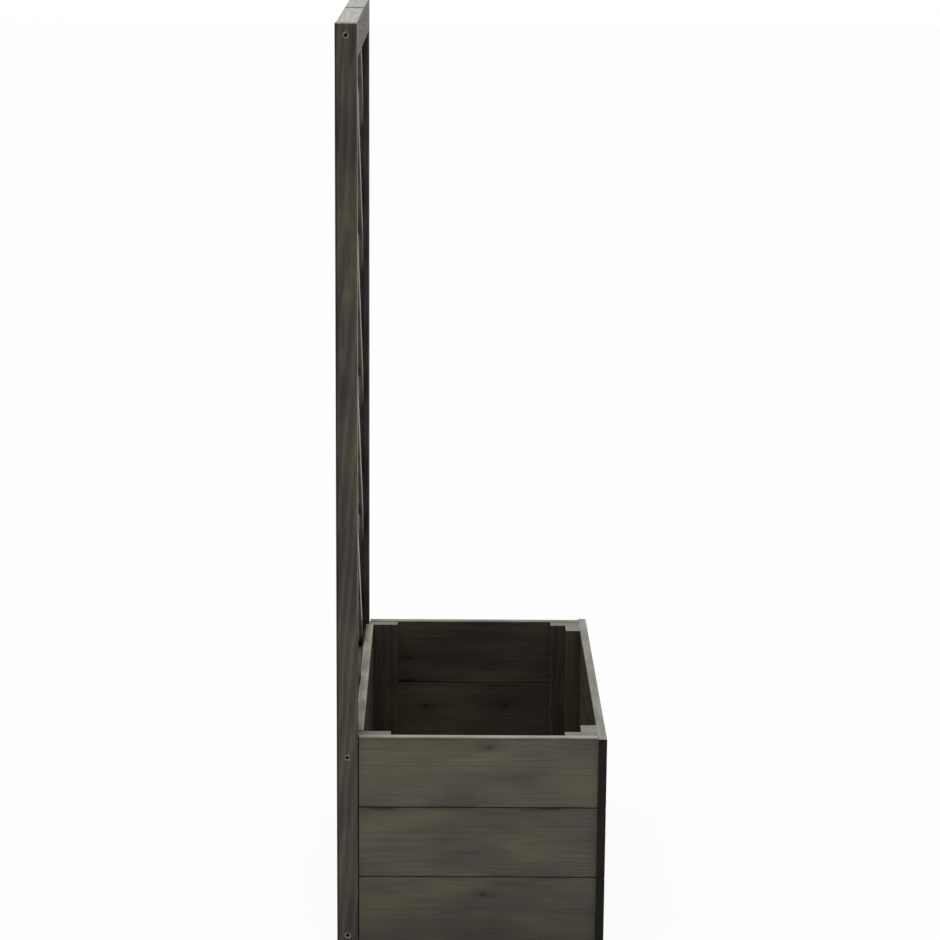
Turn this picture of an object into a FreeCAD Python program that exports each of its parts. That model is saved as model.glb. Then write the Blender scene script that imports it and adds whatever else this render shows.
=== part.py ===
"""Softwood trough planter with a lattice trellis along its back.

Frame: +X to the right along the trough, +Y to the back where the trellis stands, +Z up.
The origin is on the ground, under the middle of the whole planter. Millimetres.
"""
import FreeCAD
import Part
import Sketcher
import math
import os
import re

SIZES = {
    "planter_length": 600,          # over the posts and the front boards, along X
    "planter_depth": 372,           # from the front boards' faces to the backs of the posts
    "post_height": 1276,
    "post_width": 29,
    "post_ease": 1.5,
    "top_rail_height": 47,          # the top rail is as thick as the posts
    "rail_height": 38,
    "rail_thickness": 19,
    "rail_ease": 1.2,
    "lower_rail_drop": 9,           # from the top of the trough down to the top of the lower rail
    "seat_depth": 8,                # depth of the grooves that hold the lattice
    "lattice_clearance": 0.3,
    "slat_width": 28,
    "slat_thickness": 6,
    "slat_ease": 0.8,
    "board_thickness": 12,
    "board_face": 101,
    "board_gap": 1,
    "board_ease": 1,
    "tongue_length": 6,
    "tongue_thickness": 4,
    "tongue_clearance": 0.2,
    "end_inset": 5,                 # of the end boards behind the outer faces of the posts
    "end_seam": 1.5,                # between the posts and the end boards
    "end_cleat_width": 45,
    "end_cleat_thickness": 18,
    "front_batten_width": 30,
    "front_batten_thickness": 22,
    "cleat_ease": 1,
    "cleat_drop": 1,                # of the cleats below the top of the trough
    "cleat_lift": 0.5,              # of the cleats above the ground
    "fit_clearance": 0.5,
    "floor_height": 52,             # from the ground to the underside of the floor slats
    "floor_thickness": 12,
    "floor_gap": 4,
    "floor_ease": 1,
    "bearer_height": 30,
    "bearer_thickness": 20,
    "floor_batten_width": 45,
    "floor_batten_thickness": 16,
    "drill_clearance": 0.1,
    "screw_diameter": 4,
    "screw_head": 9,
    "rail_screw_bite": 41,          # of the rail screws in the ends of the rails
    "post_screw_cover": 9,          # of wood beyond the tips of the post screws
    "top_screw_drop": 15,           # from the top of the posts to the top rail's screws
    "base_screw_height": 16,
    "brad_width": 1.8,
    "brad_thickness": 1.4,
    "brad_point": 2,
    "brad_cover": 4,                # of wood beyond the tips of the brads
    "lattice_brad_cover": 1,
}

ROWS = ("bottom", "middle", "top")
SIDES = {"left": -1, "right": 1}
FLOOR_SLATS = 5
BEARER_HEIGHT_SHARE = 0.35
BEARER_SPREAD_SHARE = 0.27
BACK_SPREAD_SHARE = 0.75

# The lattice's diamonds, as shares of the field between the posts and between the rails.
DIAMOND_WIDTH_SHARE = 0.4
DIAMOND_HEIGHT_SHARE = 0.2325
DIAMONDS_ACROSS = 1 / DIAMOND_WIDTH_SHARE
DIAMONDS_UP = 1 / DIAMOND_HEIGHT_SHARE
LATTICE_STEPS = range(math.ceil(-DIAMONDS_ACROSS / 2), math.ceil(DIAMONDS_UP + DIAMONDS_ACROSS / 2))

# Lines that several pieces share, as formulas of the sizes.
HALF_LENGTH = "(planter_length / 2)"
HALF_DEPTH = "(planter_depth / 2)"
ROW_PITCH = "(board_face + board_gap)"
BOX_TOP = f"({len(ROWS)} * board_face + {len(ROWS) - 1} * board_gap)"
POST_FRONT = f"({HALF_DEPTH} - post_width)"
POST_MIDDLE = f"({HALF_DEPTH} - post_width / 2)"
POST_INNER = f"({HALF_LENGTH} - post_width)"
RAIL_FRONT = f"({POST_MIDDLE} - rail_thickness / 2)"
RAIL_TOP = f"({BOX_TOP} - lower_rail_drop)"
TOP_RAIL_FOOT = "(post_height - top_rail_height)"
BACK_INNER = f"({RAIL_FRONT} - board_thickness)"
FRONT_INNER = f"(board_thickness - {HALF_DEPTH})"
END_INNER = f"({HALF_LENGTH} - end_inset - board_thickness)"
CLEAT_INNER = f"({END_INNER} - end_cleat_thickness)"
BATTEN_INNER = f"({CLEAT_INNER} - front_batten_width)"
BATTEN_BACK = f"({FRONT_INNER} + front_batten_thickness)"
FRONT_CLEAT_BACK = f"({FRONT_INNER} + end_cleat_width)"
BACK_CLEAT_FRONT = f"({POST_FRONT} - end_cleat_width)"
CLEAT_HEIGHT = f"({BOX_TOP} - cleat_drop - cleat_lift)"
FLOOR_SLAT_WIDTH = f"(({BACK_INNER} - {FRONT_INNER} - {FLOOR_SLATS + 1} * floor_gap) / {FLOOR_SLATS})"
SEAT_WIDTH = "(2 * slat_thickness + 2 * lattice_clearance)"
SEAT_LOW = f"({RAIL_TOP} - seat_depth)"
SEAT_HIGH = f"({TOP_RAIL_FOOT} + seat_depth)"
DIAMOND_WIDTH = f"({DIAMOND_WIDTH_SHARE} * 2 * {POST_INNER})"
DIAMOND_HEIGHT = f"({DIAMOND_HEIGHT_SHARE} * ({TOP_RAIL_FOOT} - {RAIL_TOP}))"
LATTICE_LEAN = f"atan({DIAMOND_HEIGHT} / {DIAMOND_WIDTH})"

# Ways to lay a bar that is drawn upright, with its section's first side along X.
UPRIGHT = FreeCAD.Rotation()
HALF_TURN = FreeCAD.Rotation(FreeCAD.Vector(0, 0, 1), 180)
ALONG_X = FreeCAD.Rotation(FreeCAD.Vector(1, 1, 1), 120)
ALONG_X_FLIPPED = FreeCAD.Rotation(FreeCAD.Vector(1, 0, 0), 180).multiply(ALONG_X)
ALONG_Y = FreeCAD.Rotation(FreeCAD.Vector(0, 1, 1), 180)

# Ways to point a screw, which is drawn with its head on the ground and its point up.
POINT_DOWN = FreeCAD.Rotation(FreeCAD.Vector(1, 0, 0), 180)
POINT_RIGHT = FreeCAD.Rotation(FreeCAD.Vector(0, 1, 0), 90)
POINT_LEFT = FreeCAD.Rotation(FreeCAD.Vector(0, 1, 0), -90)
POINT_BACK = FreeCAD.Rotation(FreeCAD.Vector(1, 0, 0), -90)
POINT_FRONT = FreeCAD.Rotation(FreeCAD.Vector(1, 0, 0), 90)
POINT_OUT = {"left": POINT_LEFT, "right": POINT_RIGHT}
POINT_IN = {"left": POINT_RIGHT, "right": POINT_LEFT}

doc = FreeCAD.newDocument("planter")
nodes = []


def make_sheet():
    """The sheet of driving sizes, one named cell each."""
    sheet = doc.addObject("Spreadsheet::Sheet", "sizes")
    for row, (word, value) in enumerate(SIZES.items(), start=1):
        sheet.set(f"A{row}", word)
        sheet.set(f"B{row}", str(value))
        sheet.setAlias(f"B{row}", word)
    doc.recompute()
    return sheet


sheet = make_sheet()


def formula(text):
    """Point each size word of a formula at its cell."""
    return re.sub(r"[a-z]+(?:_[a-z]+)+", lambda word: "sizes." + word.group(), str(text))


def value_of(text):
    return float(sheet.evalExpression(formula(text)))


def bind(target, **formulas):
    for name, text in formulas.items():
        target.setExpression(name, formula(text))


def place(target, turn, x, y, z):
    """Turn an object and tie its place to the sizes."""
    target.Placement = FreeCAD.Placement(FreeCAD.Vector(), turn)
    for axis, text in zip("xyz", (x, y, z)):
        target.setExpression(f"Placement.Base.{axis}", formula(text))


def keep(target, label):
    """Name an object as a finished piece of the planter."""
    target.Label = label
    nodes.append(target)
    return target


def draw_outline(sketch, corners):
    """A closed outline of straight lines, each corner tied to two formulas."""
    points = [FreeCAD.Vector(value_of(across), value_of(up), 0) for across, up in corners]
    for index, point in enumerate(points):
        sketch.addGeometry(Part.LineSegment(point, points[(index + 1) % len(points)]))
    for index in range(len(points)):
        following = (index + 1) % len(points)
        sketch.addConstraint(Sketcher.Constraint("Coincident", index, 2, following, 1))
    for index, corner in enumerate(corners):
        for kind, axis, text in (("DistanceX", -2, corner[0]), ("DistanceY", -1, corner[1])):
            if text == "0":
                sketch.addConstraint(Sketcher.Constraint("PointOnObject", index, 1, axis))
                continue
            value = value_of(text)
            ends = (-1, 1, index, 1) if value > 0 else (index, 1, -1, 1)
            number = sketch.addConstraint(Sketcher.Constraint(kind, *ends, abs(value)))
            distance = text if value > 0 else f"-({text})"
            sketch.setExpression(f"Constraints[{number}]", formula(distance))


def sketch_on(body, name, role):
    sketch = body.newObject("Sketcher::SketchObject", name)
    plane = next(item for item in body.Origin.OriginFeatures if item.Role == role)
    sketch.AttachmentSupport = [(plane, "")]
    sketch.MapMode = "FlatFace"
    return sketch


def make_bar(name, corners, run):
    """A bar of one section, drawn upright: the section on XY, the run along Z."""
    body = doc.addObject("PartDesign::Body", f"{name}_body")
    sketch = sketch_on(body, f"{name}_section", "XY_Plane")
    draw_outline(sketch, corners)
    pad = body.newObject("PartDesign::Pad", f"{name}_run")
    pad.Profile = sketch
    bind(pad, Length=run)
    body.Tip = pad
    return body


def make_box(name, across, deep, tall):
    box = doc.addObject("Part::Box", name)
    bind(box, Length=across, Width=deep, Height=tall)
    return box


def group_of(name, members):
    group = doc.addObject("Part::Compound", name)
    group.Links = members
    return group


def cut_from(name, base, tool):
    cut = doc.addObject("Part::Cut", name)
    cut.Base = base
    cut.Tool = tool
    return cut


def eased_section(across, up, ease):
    """A rectangle with its four corners taken off."""
    return [
        (ease, "0"),
        (f"{across} - {ease}", "0"),
        (across, ease),
        (across, f"{up} - {ease}"),
        (f"{across} - {ease}", up),
        (ease, up),
        ("0", f"{up} - {ease}"),
        ("0", ease),
    ]


def grooved_section(across, up, ease):
    """An eased rectangle with the lattice's groove in its upper side."""
    lead = f"(({across} - {SEAT_WIDTH}) / 2)"
    section = eased_section(across, up, ease)
    groove = [
        (f"{across} - {lead}", up),
        (f"{across} - {lead}", f"{up} - seat_depth"),
        (lead, f"{up} - seat_depth"),
        (lead, up),
    ]
    return section[:5] + groove + section[5:]


def board_section(row):
    """A wall board's section: a groove below and a tongue above, except at the wall's two edges."""
    across, up, ease = "board_thickness", "board_face", "board_ease"
    section = eased_section(across, up, ease)
    slot = "((board_thickness - tongue_thickness) / 2 - tongue_clearance)"
    side = "((board_thickness - tongue_thickness) / 2)"
    groove = [
        (slot, "0"),
        (slot, "tongue_length"),
        (f"{across} - {slot}", "tongue_length"),
        (f"{across} - {slot}", "0"),
    ]
    tongue = [
        (f"{across} - {side}", up),
        (f"{across} - {side}", f"{up} + tongue_length"),
        (side, f"{up} + tongue_length"),
        (side, up),
    ]
    below = groove if row > 0 else []
    above = tongue if row < len(ROWS) - 1 else []
    return section[:1] + below + section[1:5] + above + section[5:]


def make_screw(name, run, room):
    """A countersunk screw with its flat head on XY and its end up, or its hole with some room."""
    shank = f"(screw_diameter / 2 + {room})"
    rim = f"(screw_head / 2 + {room})"
    neck = "((screw_head - screw_diameter) / 2)"
    body = doc.addObject("PartDesign::Body", name)
    sketch = sketch_on(body, f"{name}_profile", "XZ_Plane")
    end = f"({run} + {room})"
    draw_outline(sketch, [("0", "0"), (rim, "0"), (shank, neck), (shank, end), ("0", end)])
    turn = body.newObject("PartDesign::Revolution", f"{name}_turn")
    turn.Profile = sketch
    turn.ReferenceAxis = (sketch, ["V_Axis"])
    turn.Angle = 360
    body.Tip = turn
    return body


def make_brad(name, run, room):
    """A brad of flat wire with its end on XY and its chisel point up, or its hole with some room."""
    half = f"(brad_width / 2 + {room})"
    shoulder = f"({run} + {room} - brad_point)"
    body = doc.addObject("PartDesign::Body", name)
    sketch = sketch_on(body, f"{name}_profile", "XZ_Plane")
    corners = [
        (f"-{half}", "0"),
        (half, "0"),
        (half, shoulder),
        ("0", f"{run} + {room}"),
        (f"-{half}", shoulder),
    ]
    draw_outline(sketch, corners)
    pad = body.newObject("PartDesign::Pad", f"{name}_wire")
    pad.Profile = sketch
    pad.SideType = "Symmetric"
    bind(pad, Length=f"brad_thickness + 2 * {room}")
    body.Tip = pad
    return body


class Fasteners:
    """A group of like screws or brads, and the holes that they sit in."""

    def __init__(self, label, make_one, run):
        self.label = label
        self.fastener = make_one(f"{label}_pattern", run, "0")
        self.drill = make_one(f"{label}_drill", run, "drill_clearance")
        self.fasteners = []
        self.holes = []

    def add(self, turn, x, y, z):
        for kind, pattern, members in (
            ("fastener", self.fastener, self.fasteners),
            ("hole", self.drill, self.holes),
        ):
            link = doc.addObject("App::Link", f"{self.label}_{kind}_{len(members) + 1}")
            link.LinkedObject = pattern
            place(link, turn, x, y, z)
            members.append(link)

    def close(self):
        keep(group_of(f"{self.label}_set", self.fasteners), self.label)
        return group_of(f"{self.label}_holes", self.holes)


def finish(label, base, *holes):
    """Keep a piece, drilled for the fasteners that reach it."""
    for number, tool in enumerate(holes, start=1):
        base = cut_from(f"{label}_drilled_{number}", base, tool)
    return keep(base, label)


def row_middle(row):
    return f"({row} * {ROW_PITCH} + board_face / 2)"


def floor_slat_start(number):
    return f"({FRONT_INNER} + floor_gap + {number} * ({FLOOR_SLAT_WIDTH} + floor_gap))"


def drill_rail_screws():
    """Through each post into the ends of the three rails."""
    screws = Fasteners("rail_screws", make_screw, "(post_width + rail_screw_bite)")
    heights = ("post_height - top_screw_drop", f"{RAIL_TOP} - rail_height / 2", "base_screw_height")
    for side, sign in SIDES.items():
        for height in heights:
            screws.add(POINT_IN[side], f"{sign} * {HALF_LENGTH}", POST_MIDDLE, height)
    return screws.close()


def drill_post_screws():
    """Through the back of each post into the cleat in front of it, level with the boards' seams."""
    run = "(post_width + end_cleat_width - post_screw_cover)"
    screws = Fasteners("post_screws", make_screw, run)
    for sign in SIDES.values():
        for row in range(1, len(ROWS)):
            across = f"{sign} * ({POST_INNER} + {END_INNER}) / 2"
            screws.add(POINT_FRONT, across, HALF_DEPTH, f"{row} * {ROW_PITCH}")
    return screws.close()


def drill_cleat_brads():
    """From inside through the cleats into each end board."""
    run = "(end_cleat_thickness + board_thickness - brad_cover)"
    brads = Fasteners("cleat_brads", make_brad, run)
    for side, sign in SIDES.items():
        for start in (FRONT_INNER, BACK_CLEAT_FRONT):
            for row in range(len(ROWS)):
                middle = f"{start} + end_cleat_width / 2"
                brads.add(POINT_OUT[side], f"{sign} * {CLEAT_INNER}", middle, row_middle(row))
    return brads.close()


def drill_batten_brads():
    """From inside through the battens into each front board."""
    run = "(front_batten_thickness + board_thickness - brad_cover)"
    brads = Fasteners("batten_brads", make_brad, run)
    for sign in SIDES.values():
        for row in range(len(ROWS)):
            across = f"{sign} * ({BATTEN_INNER} + {CLEAT_INNER}) / 2"
            brads.add(POINT_FRONT, across, BATTEN_BACK, row_middle(row))
    return brads.close()


def drill_corner_brads():
    """From each batten into the front cleat beside it, level with the seams between the boards."""
    run = "(front_batten_width + end_cleat_thickness - brad_cover)"
    brads = Fasteners("corner_brads", make_brad, run)
    for side, sign in SIDES.items():
        for row in range(1, len(ROWS)):
            middle = f"({FRONT_INNER} + {BATTEN_BACK}) / 2"
            brads.add(POINT_OUT[side], f"{sign} * {BATTEN_INNER}", middle, f"{row} * {ROW_PITCH}")
    return brads.close()


def drill_back_board_brads():
    """From inside through the top and bottom back boards into the two rails behind them."""
    run = "(board_thickness + rail_thickness - brad_cover)"
    brads = Fasteners("back_board_brads", make_brad, run)
    for height in (f"{RAIL_TOP} - rail_height / 2", "base_screw_height"):
        for step in (-1, 0, 1):
            brads.add(POINT_BACK, f"{step * BACK_SPREAD_SHARE} * {CLEAT_INNER}", BACK_INNER, height)
    return brads.close()


def drill_bearer_brads():
    """From inside through the bearers into the bottom end boards."""
    run = "(bearer_thickness + board_thickness - brad_cover)"
    brads = Fasteners("bearer_brads", make_brad, run)
    height = f"floor_height - bearer_height * (1 - {BEARER_HEIGHT_SHARE})"
    for side, sign in SIDES.items():
        for share in (1 / 2 - BEARER_SPREAD_SHARE, 1 / 2 + BEARER_SPREAD_SHARE):
            across = f"{sign} * ({END_INNER} - bearer_thickness)"
            along = f"{FRONT_CLEAT_BACK} + {share} * ({BACK_CLEAT_FRONT} - {FRONT_CLEAT_BACK})"
            brads.add(POINT_OUT[side], across, along, height)
    return brads.close()


def drill_floor_brads():
    """Down through each floor slat into the bearers and the batten under it."""
    run = "(floor_thickness + floor_batten_thickness - brad_cover)"
    brads = Fasteners("floor_brads", make_brad, run)
    top = "floor_height + floor_thickness"
    for number in range(FLOOR_SLATS):
        start = floor_slat_start(number)
        end = f"({start} + {FLOOR_SLAT_WIDTH})"
        brads.add(POINT_DOWN, "0", f"({start} + {end}) / 2", top)
        seat = f"(max({start}; {FRONT_CLEAT_BACK}) + min({end}; {BACK_CLEAT_FRONT})) / 2"
        for sign in SIDES.values():
            brads.add(POINT_DOWN, f"{sign} * ({END_INNER} - bearer_thickness / 2)", seat, top)
    return brads.close()


def drill_lattice_brads():
    """One brad through each crossing of the two layers. The first crossing is at the lower rail's edge."""
    brads = Fasteners("lattice_brads", make_brad, "(2 * slat_thickness - lattice_brad_cover)")
    for front in LATTICE_STEPS:
        for rear in LATTICE_STEPS:
            diamonds_aside = (front - rear) / 2
            diamonds_up = (front + rear) / 2
            if abs(diamonds_aside) < DIAMONDS_ACROSS / 2 and 0 < diamonds_up < DIAMONDS_UP:
                across = f"{diamonds_aside} * {DIAMOND_WIDTH}"
                height = f"{RAIL_TOP} + {diamonds_up} * {DIAMOND_HEIGHT}"
                brads.add(POINT_BACK, across, f"{POST_MIDDLE} - slat_thickness", height)
    return brads.close()


def make_post(side, *holes):
    """A square post with a stopped groove for the lattice in its inner face."""
    name = f"{side}_post"
    body = make_bar(name, eased_section("post_width", "post_width", "post_ease"), "post_height")
    sketch = sketch_on(body, f"{name}_groove", "YZ_Plane")
    sketch.setExpression("AttachmentOffset.Base.z", formula("post_width"))
    start = f"((post_width - {SEAT_WIDTH}) / 2)"
    stop = f"((post_width + {SEAT_WIDTH}) / 2)"
    draw_outline(sketch, [(start, SEAT_LOW), (stop, SEAT_LOW), (stop, SEAT_HIGH), (start, SEAT_HIGH)])
    groove = body.newObject("PartDesign::Pocket", f"{name}_seat")
    groove.Profile = sketch
    bind(groove, Length="seat_depth")
    body.Tip = groove
    if side == "left":
        place(body, UPRIGHT, f"-{HALF_LENGTH}", POST_FRONT, "0")
    else:
        place(body, HALF_TURN, HALF_LENGTH, HALF_DEPTH, "0")
    finish(name, body, *holes)


def make_rails(rail_holes, board_holes):
    """The top rail, flush with the posts, and the lower rail, both grooved, and the plain base rail."""
    run = f"2 * {POST_INNER}"
    top = make_bar("top_rail", grooved_section("post_width", "top_rail_height", "post_ease"), run)
    place(top, ALONG_X_FLIPPED, f"-{POST_INNER}", HALF_DEPTH, "post_height")
    finish("top_rail", top, rail_holes)
    lower = make_bar("lower_rail", grooved_section("rail_thickness", "rail_height", "rail_ease"), run)
    place(lower, ALONG_X, f"-{POST_INNER}", RAIL_FRONT, f"{RAIL_TOP} - rail_height")
    finish("lower_rail", lower, rail_holes, board_holes)
    base = make_bar("base_rail", eased_section("rail_thickness", "rail_height", "rail_ease"), run)
    place(base, ALONG_X, f"-{POST_INNER}", RAIL_FRONT, "0")
    finish("base_rail", base, rail_holes, board_holes)


def make_lattice(lattice_holes):
    """Two layers of slats, cut to the field inside the grooves, lying on each other where they cross."""
    run = "(planter_length + post_height)"
    half_field = f"({POST_INNER} + seat_depth - lattice_clearance)"
    field = make_box(
        "lattice_field",
        f"2 * {half_field}",
        "post_width",
        f"{SEAT_HIGH} - {SEAT_LOW} - 2 * lattice_clearance",
    )
    place(field, UPRIGHT, f"-{half_field}", POST_FRONT, f"{SEAT_LOW} + lattice_clearance")
    blank = make_bar("lattice_stock", eased_section("slat_width", "slat_thickness", "slat_ease"), run)
    place(blank, UPRIGHT, "-slat_width / 2", "0", f"-{run} / 2")
    layers = {
        "front": (f"90 deg + {LATTICE_LEAN}", f"{POST_MIDDLE} - slat_thickness"),
        "rear": (f"90 deg - {LATTICE_LEAN}", POST_MIDDLE),
    }
    for layer, (lean, depth) in layers.items():
        for number, step in enumerate(LATTICE_STEPS, start=1):
            label = f"{layer}_slat_{number}"
            stock = doc.addObject("App::Link", f"{label}_stock")
            stock.LinkedObject = blank
            stock.LinkTransform = True
            turn = FreeCAD.Rotation(FreeCAD.Vector(0, 1, 0), value_of(lean))
            place(stock, turn, "0", depth, f"{RAIL_TOP} + {step} * {DIAMOND_HEIGHT}")
            stock.setExpression("Placement.Rotation.Angle", formula(lean))
            slat = doc.addObject("Part::Common", f"{label}_cut")
            slat.Base = stock
            slat.Tool = field
            finish(label, slat, lattice_holes)


def make_walls(batten_holes, board_holes, cleat_holes, bearer_holes):
    """Four walls of tongue-and-groove boards."""
    back_half = f"(min({CLEAT_INNER}; {POST_INNER}) - fit_clearance)"
    end_run = f"{POST_FRONT} - end_seam - {FRONT_INNER}"
    for row, word in enumerate(ROWS):
        section = board_section(row)
        height = f"{row} * {ROW_PITCH}"
        front = make_bar(f"front_{word}_board", section, "planter_length")
        place(front, ALONG_X, f"-{HALF_LENGTH}", f"-{HALF_DEPTH}", height)
        finish(f"front_{word}_board", front, batten_holes)
        back = make_bar(f"back_{word}_board", section, f"2 * {back_half}")
        place(back, ALONG_X, f"-{back_half}", BACK_INNER, height)
        finish(f"back_{word}_board", back, board_holes)
        for side, outer in (("left", f"-{END_INNER}"), ("right", f"{END_INNER} + board_thickness")):
            end = make_bar(f"{side}_end_{word}_board", section, end_run)
            place(end, ALONG_Y, outer, FRONT_INNER, height)
            finish(f"{side}_end_{word}_board", end, cleat_holes, bearer_holes)


def make_corners(post_holes, cleat_holes, batten_holes, corner_holes):
    """A cleat in each corner for the end boards, and a batten in each front corner for the front boards."""
    cleat = eased_section("end_cleat_thickness", "end_cleat_width", "cleat_ease")
    batten = eased_section("front_batten_width", "front_batten_thickness", "cleat_ease")
    cleat_starts = {"left": f"-{END_INNER}", "right": CLEAT_INNER}
    batten_starts = {"left": f"-{CLEAT_INNER}", "right": BATTEN_INNER}
    for side in SIDES:
        back = make_bar(f"{side}_back_cleat", cleat, CLEAT_HEIGHT)
        place(back, UPRIGHT, cleat_starts[side], BACK_CLEAT_FRONT, "cleat_lift")
        finish(f"{side}_back_cleat", back, post_holes, cleat_holes)
        front = make_bar(f"{side}_front_cleat", cleat, CLEAT_HEIGHT)
        place(front, UPRIGHT, cleat_starts[side], FRONT_INNER, "cleat_lift")
        finish(f"{side}_front_cleat", front, cleat_holes, corner_holes)
        stud = make_bar(f"{side}_batten", batten, CLEAT_HEIGHT)
        place(stud, UPRIGHT, batten_starts[side], FRONT_INNER, "cleat_lift")
        finish(f"{side}_batten", stud, batten_holes, corner_holes)


def corner_room():
    """The room that the floor leaves round the cleats and battens."""
    rooms = []
    for side, sign in SIDES.items():
        cleat_middle = f"{sign} * ({CLEAT_INNER} + {END_INNER}) / 2"
        cleat_start = f"{cleat_middle} - end_cleat_thickness / 2 - fit_clearance"
        batten_middle = f"{sign} * ({BATTEN_INNER} + {CLEAT_INNER}) / 2"
        batten_start = f"{batten_middle} - front_batten_width / 2 - fit_clearance"
        for word, start in (("front", FRONT_INNER), ("back", BACK_CLEAT_FRONT)):
            room = make_box(
                f"{side}_{word}_cleat_room",
                "end_cleat_thickness + 2 * fit_clearance",
                "end_cleat_width + 2 * fit_clearance",
                "floor_thickness",
            )
            place(room, UPRIGHT, cleat_start, f"{start} - fit_clearance", "floor_height")
            rooms.append(room)
        room = make_box(
            f"{side}_batten_room",
            "front_batten_width + 2 * fit_clearance",
            "front_batten_thickness + 2 * fit_clearance",
            "floor_thickness",
        )
        place(room, UPRIGHT, batten_start, f"{FRONT_INNER} - fit_clearance", "floor_height")
        rooms.append(room)
    return group_of("corner_room", rooms)


def make_floor(floor_holes, bearer_holes):
    """Floor slats with drainage gaps, on a bearer at each end and a batten across the middle."""
    half_run = f"({END_INNER} - fit_clearance)"
    room = corner_room()
    section = eased_section(FLOOR_SLAT_WIDTH, "floor_thickness", "floor_ease")
    for number in range(FLOOR_SLATS):
        label = f"floor_slat_{number + 1}"
        slat = make_bar(label, section, f"2 * {half_run}")
        place(slat, ALONG_X, f"-{half_run}", floor_slat_start(number), "floor_height")
        finish(label, slat, room, floor_holes)
    bearer_run = f"{BACK_CLEAT_FRONT} - {FRONT_CLEAT_BACK} - 2 * fit_clearance"
    outer_faces = {"left": f"bearer_thickness - {END_INNER}", "right": END_INNER}
    for side, outer in outer_faces.items():
        bearer = make_bar(
            f"{side}_bearer",
            eased_section("bearer_thickness", "bearer_height", "floor_ease"),
            bearer_run,
        )
        start = f"{FRONT_CLEAT_BACK} + fit_clearance"
        place(bearer, ALONG_Y, outer, start, "floor_height - bearer_height")
        finish(f"{side}_bearer", bearer, floor_holes, bearer_holes)
    batten = make_bar(
        "floor_batten",
        eased_section("floor_batten_width", "floor_batten_thickness", "floor_ease"),
        f"{BACK_INNER} - {FRONT_INNER} - 2 * floor_gap",
    )
    start = f"{FRONT_INNER} + floor_gap"
    place(batten, ALONG_Y, "floor_batten_width / 2", start, "floor_height - floor_batten_thickness")
    finish("floor_batten", batten, floor_holes)


def make_planter():
    rail_holes = drill_rail_screws()
    post_holes = drill_post_screws()
    cleat_holes = drill_cleat_brads()
    batten_holes = drill_batten_brads()
    corner_holes = drill_corner_brads()
    board_holes = drill_back_board_brads()
    bearer_holes = drill_bearer_brads()
    floor_holes = drill_floor_brads()
    lattice_holes = drill_lattice_brads()
    for side in SIDES:
        make_post(side, rail_holes, post_holes)
    make_rails(rail_holes, board_holes)
    make_lattice(lattice_holes)
    make_walls(batten_holes, board_holes, cleat_holes, bearer_holes)
    make_corners(post_holes, cleat_holes, batten_holes, corner_holes)
    make_floor(floor_holes, bearer_holes)


def check_planter():
    """Stop if any object failed to build or any piece is not a sound shape."""
    for item in doc.Objects:
        if "Invalid" in item.State or "Error" in item.State:
            raise RuntimeError(f"{item.Name} did not build: {item.State}")
    for node in nodes:
        if node.Shape.isNull() or not node.Shape.isValid() or not node.Shape.Solids:
            raise RuntimeError(f"{node.Label} is not a sound solid")


make_planter()
doc.recompute()
check_planter()
os.makedirs("parts", exist_ok=True)
for node in nodes:
    node.Shape.exportStep(f"parts/{node.Label}.step")
print(len(nodes), "pieces written")
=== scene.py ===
"""A trough planter with a lattice trellis, dressed in dark grey stained softwood on a studio floor."""
import math
import random
from collections import namedtuple

import bmesh
import bpy
from mathutils import Matrix, Quaternion, Vector


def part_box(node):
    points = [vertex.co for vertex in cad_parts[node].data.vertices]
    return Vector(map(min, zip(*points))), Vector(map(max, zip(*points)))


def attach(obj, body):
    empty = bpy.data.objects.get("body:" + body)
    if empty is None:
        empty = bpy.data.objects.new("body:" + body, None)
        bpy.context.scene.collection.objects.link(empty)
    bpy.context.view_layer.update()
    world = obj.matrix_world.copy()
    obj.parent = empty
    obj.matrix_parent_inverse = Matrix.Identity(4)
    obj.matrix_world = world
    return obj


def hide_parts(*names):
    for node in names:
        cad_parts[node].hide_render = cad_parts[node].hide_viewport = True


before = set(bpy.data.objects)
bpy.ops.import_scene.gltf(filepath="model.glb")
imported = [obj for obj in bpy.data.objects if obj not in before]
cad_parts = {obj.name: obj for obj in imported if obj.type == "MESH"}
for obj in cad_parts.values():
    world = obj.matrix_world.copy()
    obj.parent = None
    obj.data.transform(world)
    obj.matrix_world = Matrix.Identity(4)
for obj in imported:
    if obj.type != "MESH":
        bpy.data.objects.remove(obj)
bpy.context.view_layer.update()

bl_info = {
    "name": "Trough planter with trellis",
    "version": (1, 0, 0),
    "blender": (4, 5, 0),
    "location": "View3D > Sidebar > Planter",
    "description": "Dresses the planter's pieces in stained softwood and steel and sets up its stage",
    "category": "Object",
}

BODY = "root"
AXES = "XYZ"
BOTH_WAYS = (-1, 1)
EULER = math.e

# Groups of like pieces, by their names in the frame.
NODES = sorted(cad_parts)
POSTS = [name for name in NODES if name.endswith("_post")]
RAILS = [name for name in NODES if name.endswith("_rail")]
SLATS = [name for name in NODES if name.startswith(("front_slat", "rear_slat"))]
BOARDS = [name for name in NODES if name.endswith("_board")]
CORNERS = [name for name in NODES if name.endswith(("_cleat", "_batten")) and not name.startswith("floor")]
FLOOR = [name for name in NODES if name.startswith("floor_") and not name.endswith("brads")]
FLOOR += [name for name in NODES if name.endswith("_bearer")]
BRADS = [name for name in NODES if name.endswith("_brads")]
JOINED = ["top_rail"]

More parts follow.
